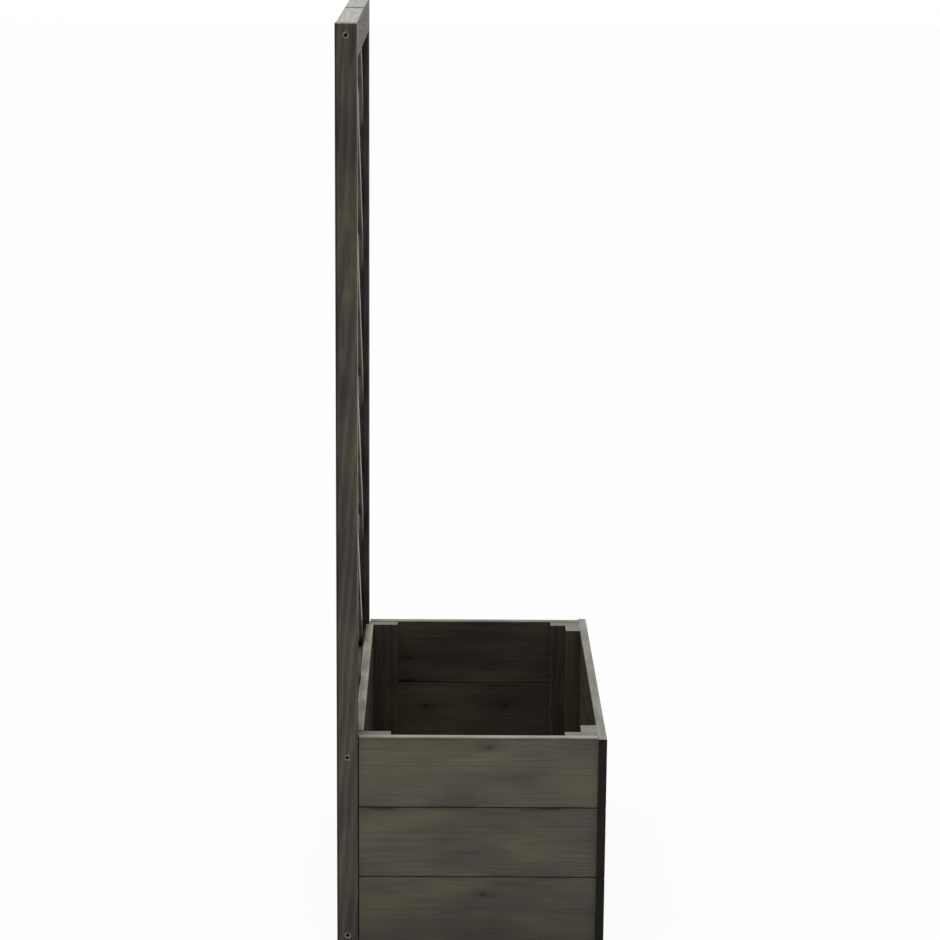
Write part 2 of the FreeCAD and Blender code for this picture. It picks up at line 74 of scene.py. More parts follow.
# How each group takes the stain: its shade, how many times broader than usual its growth rings are, how
# strongly they show, how much darker its cut ends are, and how strong and narrow its streaks are.
Cut = namedtuple("Cut", "shade breadth figure end_shade streaks", defaults=(1.0, 0.15, 0.3, 1.0))
POST_CUT = Cut(0.64, breadth=3.0, figure=0.34)
RAIL_CUT = Cut(0.92, breadth=1.5, figure=0.21)
# The slats' low shade is partly their tone and partly painted shade between the lattice's two layers.
SLAT_CUT = Cut(0.72, breadth=1.6, figure=0.23)
BOARD_CUT = Cut(1.0, figure=0.06, end_shade=0.91, streaks=0.6)
CORNER_CUT = Cut(0.95, end_shade=0.1)
FLOOR_CUT = Cut(0.95)
SHADE_SPREAD = (0.94, 1.06)
BOTTOM_BOARD_PAINTED_SHADE = 0.92

# Painted top light: how much paler each piece is painted on its faces that look up, in place of light from
# above.
TOP_LIGHT_SHARES = {name: 1.6 for name in POSTS + JOINED}
TOP_LIGHT_SHARES.update({name: 1.0 for name in CORNERS})
TOP_LIGHT_SHARES.update(front_top_board=1.6, right_end_top_board=1.2, left_end_top_board=4.0, back_top_board=4.2)

# Noise that is drawn out along the grain: a step to its seed, spots to a metre along and across the grain,
# detail, and the values between which it comes to show.
Fibre = namedtuple("Fibre", "step per_length per_width detail low high")
COARSE = Fibre(0, 5, 130, 3.0, 0.3, 0.7)
FINE = Fibre(0, 22, 900, 2.0, 0.3, 0.7)
BLOTCH = Fibre(0, 5, 20, 2.0, 0.34, 0.66)
CLOUD = Fibre(2, 8, 26, 2.0, 0.36, 0.64)
PALE_STREAK = Fibre(3, 13, 300, 1.0, 0.58, 0.70)
DARK_STREAK = Fibre(5, 9, 240, 1.0, 0.62, 0.75)
WANDER = Fibre(7, 3.2, 11, 1.5, 0.0, 1.0)
SEAM_DARKENING = Fibre(11, 11, 60, 2.0, 0.42, 0.62)
SCUFF = Fibre(13, 14, 70, 1.0, 0.58, 0.72)
NOISE_MEAN = 0.5
SEEDS = (0, 40)
GREEN_RANGE = (0.38, 0.64)

# Growth rings: how far aside of a piece's middle their pith may lie, as shares of its half width, how deep
# it may lie, how many rings it may tilt by to a metre, where in a year's ring the late wood comes and goes,
# as shares of the ring, and the mean of the late wood.
PITH_ASIDE_SHARES = (-0.7, 0.7)
PITH_DEPTH = (0.014, 0.036)
PITH_TILT = (3, 9)
LATE_COMES_SHARES = (0.25, 0.80)
LATE_GOES_SHARES = (0.84, 1.0)
LATE_MEAN = 0.4

# Knots that show on single pieces: share of the length from the low end, share of the width, radius and
# how many times longer than wide the mark is.
MARKED_KNOT_SHARES = {
    "left_end_top_board": [(0.455, 0.86, 0.0036, 1.5)],
    "left_end_middle_board": [(0.90, 0.985, 0.0030, 8.0), (0.20, 0.995, 0.0032, 7.0)],
    "left_end_bottom_board": [(0.480, 0.75, 0.0038, 1.5)],
    "right_end_middle_board": [(0.345, 0.63, 0.0040, 2.2), (0.735, 0.63, 0.0040, 1.6)],
    "right_end_top_board": [(0.82, 0.40, 0.0030, 5.0), (0.82, 0.03, 0.0034, 4.0)],
    "left_post": [(0.578, 0.74, 0.0014, 1.2), (0.114, 0.74, 0.0014, 1.2)],
}

# The bounds of the same values on all other pieces, and how many knots a wide or a narrow piece may have.
KNOT_ALONG_SHARES = (0.08, 0.92)
KNOT_ACROSS_SHARES = (0.15, 0.85)
KNOT_RADIUS = (0.0022, 0.0042)
KNOT_STRETCH = (1.2, 2.2)
WIDE_HALF = 0.02
WIDE_KNOTS = (0, 1, 1, 2)
NARROW_KNOTS = (0, 0, 1)

# Shares of a knot's radius: where its core starts to fade, how far its dark surround and the swelling of
# the grain reach, and how far the grain swells. The tail makes these two fade more slowly along the grain.
KNOT_FADE_SHARE = 0.45
SURROUND_REACH_SHARE = 1.9
SWELLING_REACH_SHARE = 3.6
SWELLING_SHARE = 2.4
KNOT_TAIL = 0.25

# How much each mark darkens or pales the stain, as a part of its shade.
COARSE_SHADE = 0.18
FINE_SHADE = 0.14
CLOUD_SHADE = 0.19
CLOUD_FIGURE = 0.10
PALE_STREAK_SHADE = 0.17
DARK_STREAK_SHADE = 0.22
BLOTCH_SHADE = 0.30
KNOT_SURROUND_SHADE = 0.30
KNOT_CORE_SHADE = 0.45
SCUFF_SHADE = 0.2
BACK_ARRIS_PAINTED_SHADE = 0.8
INNER_FACE_PAINTED_SHADE = 0.4
RAIL_TOP_PAINTED_SHADE = 0.4
GLUE_SHADE = 0.45
SMEAR_SHADE = 0.30
NEXT_LENGTH_SHADE = 0.08
SEAM_SHADE = 0.34
LEDGE_PAINTED_SHADE = 0.2

# How much each mark adds to the roughness. The last two are shares of the side roughness.
COARSE_ROUGHNESS = 0.22
LATE_ROUGHNESS = -0.05
END_ROUGHNESS = 0.45
SMEAR_ROUGHNESS = 0.5
LEDGE_ROUGHNESS = 0.3
SLAT_FACE_SHARE = 0.35
POST_FRONT_SHARE = 0.6

# How far in from an edge each mark fades, and how ragged the rubbed edges are.
RUBBED_AND_HIGHLIT_EDGE = (0.0002, 0.0034)
RAGGED_EDGE = 0.006
SHADED_ARRIS = (0.0016, 0.0034)
SEAM = (0.0005, 0.0075)
GLUE_LINE = (0.0010, 0.0046)

# How squarely a face has to look one way to count as turned to it, and where a post's back begins, as
# shares of its half width.
SQUARE_ON = (0.6, 0.9)
LEDGE_TURN = (0.2, 0.7)
POST_BACK_SHARES = (0.6, 0.8)

# How much the scuffs on the posts slant, how far the grain jumps along and across at the finger joint, and
# where the smear over the joint fades, from its middle, as shares of a finger's length.
SCUFF_SLANT = 1.2
SCUFF_LEAN = 0.35
JOINT_JUMP = (5.0, 0.009)
SMEAR_FADE_SHARES = (0.5, 0.75)

# The raised grain: what fibres and late wood add to it, and how strongly it shows.
FINE_RELIEF = 0.35
LATE_RELIEF = 0.65
RELIEF_STRENGTH = 0.3

# Clouds and dirt on the steel: spots to a metre and detail, and what they do to its shade and shine.
STEEL_CLOUDS = {"Scale": 900.0, "Detail": 4.0}
STEEL_DIRT = {"Scale": 260.0, "Detail": 3.0}
DIRT_RANGE = (0.42, 0.64)
STEEL_SHADE = 0.75
STEEL_CLOUD_SHADE = 0.5
DIRT_SHADE = 0.6
DULL_ROUGHNESS = 0.9
SHINE_ROUGHNESS = 0.55
DIRT_ROUGHNESS = 0.3
DIRT_DULLING = 0.5
STEEL_SHINE = 0.95
GRIME_AND_SHADE_SHINE = 0.05

# A screw: corners of its round head, its shank's share of the head's radius, and how much of the driver's
# cross is left at its bottom.
HEAD_CORNERS = 32
SHANK_SHARE = 4 / 9
RECESS_FLOOR_SHARE = 0.55

# The sun lights the same from any place. This place keeps it clear of the planter.
KEY_PLACE = (0, 1, 3)


class PlanterWood(bpy.types.PropertyGroup):
    """The look of the stained softwood."""

    warm_stain: bpy.props.FloatVectorProperty(
        name="Warm stain",
        description="Colour of the stain where the wood takes it warm",
        subtype="COLOR",
        min=0,
        max=1,
        default=(0.108, 0.091, 0.077),
    )
    green_stain: bpy.props.FloatVectorProperty(
        name="Green stain",
        description="Colour of the stain where the wood takes it greenish",
        subtype="COLOR",
        min=0,
        max=1,
        default=(0.112, 0.099, 0.066),
    )
    # Painted top light: the colour painted on the faces that look up, in place of light from above.
    top_lit_stain: bpy.props.FloatVectorProperty(
        name="Top lit stain",
        description="Colour that the stain turns to in the sun",
        subtype="COLOR",
        min=0,
        max=1,
        default=(0.107, 0.104, 0.077),
    )
    ring_pitch: bpy.props.FloatProperty(
        name="Ring pitch",
        description="Width of one year's growth ring",
        unit="LENGTH",
        default=0.0042,
    )
    ring_wander: bpy.props.FloatProperty(
        name="Ring wander",
        description="How far the rings wander from round",
        unit="LENGTH",
        default=0.036,
    )
    roughness: bpy.props.FloatProperty(
        name="Roughness",
        description="How dull the dry stain is",
        subtype="FACTOR",
        min=0,
        max=1,
        default=0.29,
    )
    side_roughness: bpy.props.FloatProperty(
        name="Side roughness",
        description="How much duller the sides of the rails are than their tops",
        subtype="FACTOR",
        min=0,
        max=1,
        default=0.3,
    )
    # Painted top light: how much paler the faces that look up are painted.
    top_light: bpy.props.FloatProperty(
        name="Top light",
        description="How much paler the sun leaves the faces that look up",
        subtype="FACTOR",
        min=0,
        max=1,
        default=0.5,
    )
    # Partly wear and partly a painted highlight along the edges.
    edge_wear_and_highlight: bpy.props.FloatProperty(
        name="Edge wear and highlight",
        description="How much paler the rubbed edges are",
        subtype="FACTOR",
        min=0,
        max=1,
        default=0.22,
    )
    grain_depth: bpy.props.FloatProperty(
        name="Grain depth",
        description="Height of the raised grain",
        unit="LENGTH",
        default=0.00025,
    )
    sheen: bpy.props.FloatProperty(
        name="Sheen",
        description="How strongly the stain reflects",
        subtype="FACTOR",
        min=0,
        max=1,
        default=0.15,
    )
    # Painted shade: the wood is darkened towards the ground.
    ground_shade: bpy.props.FloatProperty(
        name="Damp",
        description="How much darker the wood is at the ground",
        subtype="FACTOR",
        min=0,
        max=1,
        default=0.25,
    )
    ground_shade_height: bpy.props.FloatProperty(
        name="Damp height",
        description="How far up from the ground the wood is darker",
        unit="LENGTH",
        default=0.15,
    )
    finger_place: bpy.props.FloatProperty(
        name="Finger joint place",
        description="Where the top rail is finger-jointed, from its middle",
        unit="LENGTH",
        default=0.048,
    )
    finger_length: bpy.props.FloatProperty(
        name="Finger length",
        description="Length of the fingers of that joint",
        unit="LENGTH",
        default=0.018,
    )
    finger_pitch: bpy.props.FloatProperty(
        name="Finger pitch",
        description="Spacing of the fingers of that joint",
        unit="LENGTH",
        default=0.0048,
    )


class PlanterSteel(bpy.types.PropertyGroup):
    """The look and the detail of the fasteners."""

    zinc: bpy.props.FloatVectorProperty(
        name="Zinc",
        description="Colour of the dulled zinc coat",
        subtype="COLOR",
        min=0,
        max=1,
        default=(0.17, 0.17, 0.145),
    )
    # Stain gathered in the driver's cross, made near black also as painted shade in the recess.
    grime_and_shade: bpy.props.FloatVectorProperty(
        name="Grime and shade",
        description="Colour of the stain gathered in the driver's cross",
        subtype="COLOR",
        min=0,
        max=1,
        default=(0.018, 0.017, 0.015),
    )
    wire: bpy.props.FloatVectorProperty(
        name="Wire",
        description="Colour of the bare wire of the brads",
        subtype="COLOR",
        min=0,
        max=1,
        default=(0.075, 0.070, 0.062),
    )
    recess_width: bpy.props.FloatProperty(
        name="Recess width",
        description="Width of each arm of the driver's cross",
        unit="LENGTH",
        default=0.0022,
    )
    recess_reach: bpy.props.FloatProperty(
        name="Recess reach",
        description="Length of the driver's cross from the middle of the head",
        unit="LENGTH",
        default=0.0028,
    )
    recess_depth: bpy.props.FloatProperty(
        name="Recess depth",
        description="Depth of the driver's cross",
        unit="LENGTH",
        default=0.0022,
    )
    rail_bite: bpy.props.FloatProperty(
        name="Rail bite",
        description="How far the screws of the rails go into their ends",
        unit="LENGTH",
        default=0.041,
    )


class PlanterStage(bpy.types.PropertyGroup):
    """The floor, the light and the camera."""

    camera_place: bpy.props.FloatVectorProperty(
        name="Camera place",
        description="Where the camera stands",
        subtype="XYZ",
        unit="LENGTH",
        default=(-3.8795, 0.0424, 1.5039),
    )
    camera_dip: bpy.props.FloatProperty(
        name="Camera dip",
        description="How far the camera looks down",
        subtype="ANGLE",
        default=0.22514,
    )
    camera_swing: bpy.props.FloatProperty(
        name="Camera swing",
        description="How far the camera turns to the planter's front",
        subtype="ANGLE",
        default=0.01023,
    )
    camera_roll: bpy.props.FloatProperty(
        name="Camera roll",
        description="How far the camera is turned about its line of sight",
        subtype="ANGLE",
        default=0.00808,
    )
    lens: bpy.props.FloatProperty(
        name="Lens",
        description="Focal length in millimetres",
        default=104.7,
    )
    sensor: bpy.props.FloatProperty(
        name="Sensor",
        description="Width of the camera's sensor in millimetres",
        default=36.0,
    )
    floor_size: bpy.props.FloatProperty(
        name="Floor size",
        description="Side of the square floor",
        unit="LENGTH",
        default=40.0,
    )
    floor_colour: bpy.props.FloatVectorProperty(
        name="Floor colour",
        description="Colour of the floor",
        subtype="COLOR",
        min=0,
        max=1,
        default=(0.85, 0.85, 0.84),
    )
    floor_roughness: bpy.props.FloatProperty(
        name="Floor roughness",
        description="How dull the floor is",
        subtype="FACTOR",
        min=0,
        max=1,
        default=0.9,
    )
    floor_glow: bpy.props.FloatProperty(
        name="Floor glow",
        description="How near to plain white the eye sees the floor",
        subtype="FACTOR",
        min=0,
        max=1,
        default=0.93,
    )
    fill: bpy.props.FloatProperty(
        name="Fill",
        description="Strength of the even light from all round",
        default=0.36,
    )
    key_strength: bpy.props.FloatProperty(
        name="Key strength",
        description="Strength of the broad soft light overhead",
        default=2.2,
    )
    key_breadth: bpy.props.FloatProperty(
        name="Key breadth",
        description="How broad the overhead light is in the sky",
        subtype="ANGLE",
        default=0.9,
    )
    key_lean: bpy.props.FloatProperty(
        name="Key lean",
        description="How far the overhead light leans to the planter's back",
        subtype="ANGLE",
        default=0.15,
    )


class Socket:
    """One output of a shader node. Sums on it add Math nodes to its tree."""

    def __init__(self, tree, output=None):
        self.tree = tree
        self.output = output

    def add(self, kind, settings=None, inputs=None, output=0):
        """Add a node, set it up, fill its sockets and give one of its outputs."""
        node = self.tree.nodes.new(kind)
        for name, value in (settings or {}).items():
            setattr(node, name, value)
        for key, value in (inputs or {}).items():
            if isinstance(value, Socket):
                self.tree.links.new(value.output, node.inputs[key])
            else:
                node.inputs[key].default_value = value
        return Socket(self.tree, node.outputs[output])

    def other(self, name):
        """Another output of the same node."""
        return Socket(self.tree, self.output.node.outputs[name])

    def feed(self, node, name):
        """Lead this output to a socket of a node that stands already."""
        self.tree.links.new(self.output, node.inputs[name])

    def maths(self, operation, *values):
        """One Math node on numbers and sockets."""
        return self.add("ShaderNodeMath", {"operation": operation}, dict(enumerate(values)))

    def __add__(self, value):
        return self.maths("ADD", self, value)

    def __sub__(self, value):
        return self.maths("SUBTRACT", self, value)

    def __rsub__(self, value):
        return self.maths("SUBTRACT", value, self)

    def __mul__(self, value):
        return self.maths("MULTIPLY", self, value)

    def __truediv__(self, value):
        return self.maths("DIVIDE", self, value)

    def __pow__(self, value):
        return self.maths("POWER", self, value)

    def __rpow__(self, value):
        return self.maths("POWER", value, self)

    def __abs__(self):
        return self.maths("ABSOLUTE", self)

    __radd__ = __add__
    __rmul__ = __mul__

    def smooth(self, low, high):
        """Rise softly from 0 at low to 1 at high."""
        settings = {"interpolation_type": "SMOOTHSTEP"}
        return self.add("ShaderNodeMapRange", settings, {"Value": self, "From Min": low, "From Max": high})

    def mix(self, blend, factor, first, second):
        """One Mix node on two colours."""
        settings = {"data_type": "RGBA", "blend_type": blend}
        return self.add("ShaderNodeMix", settings, {0: factor, 6: first, 7: second}, output=2)


class Timber:
    """How one piece was cut: its middle, its half sizes and the way that its grain runs."""

    def __init__(self, name):
        self.name = name
        self.chance = random.Random(name)
        low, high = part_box(name)
        if name in BOARDS:
            # The tongue is left out, so that the edges are those of the board's face.
            face_low, face_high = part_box(name.replace("middle", "top").replace("bottom", "top"))
            high.z = low.z + face_high.z - face_low.z
        self.middle = (low + high) / 2
        self.lean = 0.0
        # The longest side first, and a fixed order for sides of one size.
        sides = sorted(range(3), key=lambda axis: round(low[axis] - high[axis], 5))
        if name in SLATS:
            self.lean = lattice_lean() if name.startswith("front") else -lattice_lean()
            sides = [0, 2, 1]
        self.axes = [AXES[axis] for axis in sides]
        self.halves = [(high[axis] - low[axis]) / 2 for axis in sides]
        if name in SLATS:
            self.halves = [(high - low).length, slat_width() / 2, self.halves[2]]

    def spread(self, low, high):
        """A value of this piece's own between two bounds."""
        return self.chance.uniform(low, high)

    def knots(self):
        """Places along and across the grain, a radius and a stretch along the grain, for each knot."""
        if self.name in MARKED_KNOT_SHARES:
            shares = MARKED_KNOT_SHARES[self.name]
        else:
            bounds = (KNOT_ALONG_SHARES, KNOT_ACROSS_SHARES, KNOT_RADIUS, KNOT_STRETCH)
            count = self.chance.choice(WIDE_KNOTS if self.halves[1] > WIDE_HALF else NARROW_KNOTS)
            shares = [[self.spread(*pair) for pair in bounds] for _ in range(count)]
        return [
            ((along * 2 - 1) * self.halves[0], (across * 2 - 1) * self.halves[1], radius, stretch)
            for along, across, radius, stretch in shares
        ]


class Finish:
    """The shade and the roughness of a piece's stain, as one mark after another is laid on it."""

    def __init__(self, shade, rough):
        self.shade = shade
        self.rough = rough

    def pale(self, mark, amount):
        self.shade = self.shade * (1 + mark * amount)

    def darken(self, mark, amount):
        self.shade = self.shade * (1 - mark * amount)

    def dull(self, mark, amount):
        self.rough = self.rough + mark * amount


def lattice_lean():
    """The angle of the slats to the ground, from the steps between neighbours."""
    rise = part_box("front_slat_5")[0].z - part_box("front_slat_4")[0].z
    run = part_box("front_slat_3")[1].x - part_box("front_slat_2")[1].x
    return math.atan2(rise, run)


def slat_width():
    """The width of a slat, from the box round one that leans."""
    low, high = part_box("front_slat_4")
    lean = lattice_lean()
    return (high.z - low.z - (high.x - low.x) * math.tan(lean)) * math.cos(lean)


def new_material(name):
    """A new material and its shader."""
    material = bpy.data.materials.new(name)
    material.use_nodes = True
    return material, material.node_tree.nodes["Principled BSDF"]


def wear_material(obj, *materials):
    """Put on new materials. To clear the old ones also resets which face wears which, so a mesh without any
    is left as it is."""
    if obj.data.materials:
        obj.data.materials.clear()
    for material in materials:
        obj.data.materials.append(material)


def place_in(timber, start):
    """A point's place in a piece, from its middle: along the grain, across it and through it."""
    spot = start.add("ShaderNodeTexCoord", output="Object")
    spot = start.add("ShaderNodeVectorMath", {"operation": "SUBTRACT"}, {0: spot, 1: timber.middle})
    if timber.lean:
        settings = {"rotation_type": "Y_AXIS"}
        spot = start.add("ShaderNodeVectorRotate", settings, {"Vector": spot, "Angle": -timber.lean})
    split = start.add("ShaderNodeSeparateXYZ", inputs={0: spot})
    return [split.other(axis) for axis in timber.axes]


def fibres(place, seed, fibre, narrow=1.0):
    """Noise drawn out along the grain. Narrow multiplies its spots across the grain."""
    along, across, through = place
    seed = seed + fibre.step
    per_width = fibre.per_width * narrow
    inputs = {0: along * fibre.per_length + seed, 1: across * per_width + seed, 2: through * per_width}
    spot = along.add("ShaderNodeCombineXYZ", inputs=inputs)
    return along.add("ShaderNodeTexNoise", inputs={"Vector": spot, "Scale": 1.0, "Detail": fibre.detail})


def marks(place, seed, fibre):
    """The same noise as marks: 1 where it shows and 0 where it does not."""
    return fibres(place, seed, fibre).smooth(fibre.low, fibre.high)


def swing(noise, fibre):
    """The same noise as a swing to both sides of 0."""
    return noise.smooth(fibre.low, fibre.high) - NOISE_MEAN


def knot_marks(timber, place):
    """The dark cores of the knots, their dark surrounds and the swelling of the grain round them."""
    along, across, _ = place
    core = surround = swelling = None
    for knot_along, knot_across, radius, stretch in timber.knots():
        aside = across - knot_across
        ahead = (along - knot_along) / stretch
        reach = ahead * ahead + aside * aside
        mark = 1 - (reach ** 0.5).smooth(radius * KNOT_FADE_SHARE, radius)
        tail = ahead * ahead * KNOT_TAIL + aside * aside
        ring = EULER ** (tail * (-1 / (radius * SURROUND_REACH_SHARE) ** 2))
        bulge = EULER ** (tail * (-1 / (radius * SWELLING_REACH_SHARE) ** 2))
        bulge = bulge * (radius * SWELLING_SHARE)
        core = mark if core is None else core + mark
        surround = ring if surround is None else surround + ring
        swelling = bulge if swelling is None else swelling + bulge
    return core, surround, swelling


def growth_rings(timber, look, grain, seed, swelling, breadth):
    """Pale late wood at the end of each year's ring, round a wandering pith."""
    along, across, through = grain
    pitch = look.ring_pitch * breadth
    aside = across - timber.spread(*PITH_ASIDE_SHARES) * timber.halves[1]
    depth = timber.spread(*PITH_DEPTH) * timber.chance.choice(BOTH_WAYS)
    tilt = timber.spread(*PITH_TILT) * pitch * timber.chance.choice(BOTH_WAYS)
    deep = through - along * tilt - depth
    rings = (aside * aside + deep * deep) ** 0.5 + fibres(grain, seed, WANDER, breadth) * look.ring_wander
    if swelling:
        rings = rings + swelling
    phase = rings / pitch
    phase = phase.maths("FRACT", phase)
    return phase.smooth(*LATE_COMES_SHARES) * (1 - phase.smooth(*LATE_GOES_SHARES))


def edge_of(timber, place):
    """How far a point of the surface is from the piece's nearest edge."""
    gaps = [half - abs(spot) for half, spot in zip(timber.halves, place)]
    least = gaps[0].maths("MINIMUM", gaps[0], gaps[1])
    most = gaps[0].maths("MAXIMUM", gaps[0], gaps[1])
    return least.maths("MAXIMUM", least, most.maths("MINIMUM", most, gaps[2]))


def finger_joint(look, place):
    """A glued finger joint: its glue lines, the smear over them, and 1 where the next length begins."""
    along, _, through = place
    pitch, length = look.finger_pitch, look.finger_length
    finger = along.maths("PINGPONG", through, pitch / 2) * (length * 2 / pitch)
    past = along - look.finger_place - finger
    glue = 1 - abs(past).smooth(*GLUE_LINE)
    middle = along - (look.finger_place + length / 2)
    smear = 1 - abs(middle).smooth(*(length * share for share in SMEAR_FADE_SHARES))
    return glue, smear, past.maths("GREATER_THAN", past, 0.0)


def grained(look, cut, grain, seed, late, coarse, fine, blotch):
    """The finish that rings, fibres, streaks, clouds and blotches give to the plain stain."""
    cloud = marks(grain, seed, CLOUD)
    shade = 1 + swing(coarse, COARSE) * (COARSE_SHADE * cut.streaks) + swing(fine, FINE) * FINE_SHADE
    shade = shade + (late - LATE_MEAN) * (cut.figure + cloud * CLOUD_FIGURE)
    shade = shade + (cloud - NOISE_MEAN) * CLOUD_SHADE
    shade = shade + marks(grain, seed, PALE_STREAK) * (PALE_STREAK_SHADE * cut.streaks)
    shade = shade - marks(grain, seed, DARK_STREAK) * (DARK_STREAK_SHADE * cut.streaks)
    shade = shade + swing(blotch, BLOTCH) * BLOTCH_SHADE
    rough = look.roughness + (coarse - NOISE_MEAN) * COARSE_ROUGHNESS + late * LATE_ROUGHNESS
    return Finish(shade, rough)


def scuff_post(finish, timber, place, seed):
    """Pale scuffs that slant across a post, and painted shade along the arris at its back."""
    along, across, through = place
    slanting = (along + across * SCUFF_SLANT, across - along * SCUFF_LEAN, through)
    finish.pale(marks(slanting, seed, SCUFF), SCUFF_SHADE)
    # Painted shade: the rounded arris at the post's back is darkened.
    back = place[timber.axes.index("Y")].smooth(*(share * timber.halves[1] for share in POST_BACK_SHARES))
    arris = 1 - edge_of(timber, place).smooth(*SHADED_ARRIS)
    finish.darken(arris * back, BACK_ARRIS_PAINTED_SHADE)


def mark_faces_and_paint_light(finish, timber, look, cut, facing, skyward):
    """What the saw and the plane leave on each face of a piece, by the way that it looks, with painted top
    light and painted shade on some faces.
    """
    cut_end = abs(facing.other(timber.axes[0])).smooth(*SQUARE_ON)
    finish.darken(cut_end, cut.end_shade)
    finish.dull(cut_end, cut.end_shade * END_ROUGHNESS)
    # Painted top light: the faces that look up are painted paler.
    if timber.name in TOP_LIGHT_SHARES:
        finish.pale(skyward, look.top_light * TOP_LIGHT_SHARES[timber.name])
    if timber.name in POSTS:
        frontward = (facing.other("Y") * -1).smooth(*SQUARE_ON)
        finish.dull(frontward, look.side_roughness * POST_FRONT_SHARE)
        # Painted shade: the faces of a post that look in towards the other post are darkened.
        inward = (facing.other("X") * -math.copysign(1, timber.middle.x)).smooth(*SQUARE_ON)
        finish.darken(inward, INNER_FACE_PAINTED_SHADE)
    elif timber.name in JOINED:
        finish.dull(1 - skyward, look.side_roughness)
    elif timber.name in RAILS:
        # Painted shade: the tops of the lower rails are darkened.
        finish.darken(skyward, RAIL_TOP_PAINTED_SHADE)
        finish.rough = finish.rough + look.side_roughness


def darken_seams(finish, timber, place, grain, seed, facing):
    """Uneven darkening along a board's seams, and painted shade on the ledge over its tongue."""
    seam = 1 - (timber.halves[1] - abs(place[1])).smooth(*SEAM)
    # Unevenly darker along the board's long edges.
    finish.darken(seam * marks(grain, seed, SEAM_DARKENING), SEAM_SHADE)
    if "_top_" not in timber.name:
        # Painted shade: the ledge over the tongue, inside the seam, is darkened.
        ledge = facing.other("Z").smooth(*LEDGE_TURN)
        finish.darken(ledge, LEDGE_PAINTED_SHADE)
        finish.dull(ledge, LEDGE_ROUGHNESS)


def stained_wood(timber, look, cut, shade):
    """Planed softwood under a dark grey stain: rings, fibres, knots, blotches, end grain, rubbed edges, and
    painted light and shade.
    """
    material, shader = new_material(f"{timber.name}_wood")
    start = Socket(material.node_tree)
    place = place_in(timber, start)
    seed = timber.spread(*SEEDS)
    core, surround, swelling = knot_marks(timber, place)
    grain = place
    if timber.name in JOINED:
        glue, smear, next_length = finger_joint(look, place)
        grain = [spot + next_length * jump for spot, jump in zip(place, JOINT_JUMP)] + place[2:]
    late = growth_rings(timber, look, grain, seed, swelling, cut.breadth)
    coarse = fibres(grain, seed, COARSE)
    fine = fibres(grain, seed, FINE)
    blotch = fibres(grain, seed, BLOTCH, cut.streaks)
    facing = start.add("ShaderNodeNewGeometry", output="Normal")
    facing = start.add("ShaderNodeSeparateXYZ", inputs={0: facing})
    skyward = facing.other("Z").smooth(*SQUARE_ON)

    finish = grained(look, cut, grain, seed, late, coarse, fine, blotch)
    # Rubbed edges: paler from wear and from a painted highlight along them.
    edge = edge_of(timber, place) + (coarse - NOISE_MEAN) * RAGGED_EDGE
    finish.pale(1 - edge.smooth(*RUBBED_AND_HIGHLIT_EDGE), look.edge_wear_and_highlight)
    finish.shade = finish.shade * shade
    if timber.name in POSTS:
        scuff_post(finish, timber, place, seed)
    if timber.lean:
        finish.dull(abs(facing.other("Y")).smooth(*SQUARE_ON), look.side_roughness * SLAT_FACE_SHARE)
    else:
        mark_faces_and_paint_light(finish, timber, look, cut, facing, skyward)
    if core:
        finish.darken(surround, KNOT_SURROUND_SHADE)
        finish.darken(core, KNOT_CORE_SHADE)
    if timber.name in JOINED:
        finish.darken(glue, GLUE_SHADE)
        finish.darken(smear * skyward, SMEAR_SHADE)
        finish.dull(smear * skyward, SMEAR_ROUGHNESS)
        finish.darken(next_length, NEXT_LENGTH_SHADE)
    if timber.name in BOARDS:
        darken_seams(finish, timber, place, grain, seed, facing)
    height = start.add("ShaderNodeTexCoord", output="Object")
    height = start.add("ShaderNodeSeparateXYZ", inputs={0: height}).other("Z")
    # Painted shade: darker towards the ground.
    finish.darken(1 - height.smooth(0.0, look.ground_shade_height), look.ground_shade)

    stain = start.mix("MIX", blotch.smooth(*GREEN_RANGE), (*look.warm_stain, 1), (*look.green_stain, 1))
    # Painted top light: the faces that look up take the paler top-lit colour.
    if timber.name in TOP_LIGHT_SHARES:
        stain = start.mix("MIX", skyward, stain, (*look.top_lit_stain, 1))
    start.mix("MULTIPLY", 1.0, stain, finish.shade).feed(shader, "Base Color")
    finish.rough.feed(shader, "Roughness")
    relief = fine * FINE_RELIEF + late * LATE_RELIEF
    inputs = {"Strength": RELIEF_STRENGTH, "Distance": look.grain_depth, "Height": relief}
    start.add("ShaderNodeBump", inputs=inputs).feed(shader, "Normal")
    shader.inputs["Specular IOR Level"].default_value = look.sheen
    return material


def dress_in_wood(names, look, cut):
    """Give each piece of a group wood of its own."""
    for name in names:
        timber = Timber(name)
        shade = cut.shade * timber.spread(*SHADE_SPREAD)
        # Painted shade: the bottom boards are darkened.
        if "_bottom_" in name:
            shade = shade * BOTTOM_BOARD_PAINTED_SHADE
        wear_material(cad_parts[name], stained_wood(timber, look, cut, shade))


def dulled_zinc(name, colour, shine):
    """Zinc coat on steel, gone dull and a little stained."""
    material, shader = new_material(name)
    start = Socket(material.node_tree)
    spot = start.add("ShaderNodeTexCoord", output="Object")
    cloud = start.add("ShaderNodeTexNoise", inputs={"Vector": spot, **STEEL_CLOUDS})
    dirt = start.add("ShaderNodeTexNoise", inputs={"Vector": spot, **STEEL_DIRT})
    dirty = dirt.smooth(*DIRT_RANGE)
    value = STEEL_SHADE + cloud * STEEL_CLOUD_SHADE - dirty * DIRT_SHADE
    start.mix("MULTIPLY", 1.0, (*colour, 1), value).feed(shader, "Base Color")
    (DULL_ROUGHNESS - shine * SHINE_ROUGHNESS + dirt * DIRT_ROUGHNESS).feed(shader, "Roughness")
    ((1 - dirty * DIRT_DULLING) * shine).feed(shader, "Metallic")
    shader.inputs["Specular IOR Level"].default_value = shine / 2
    return material


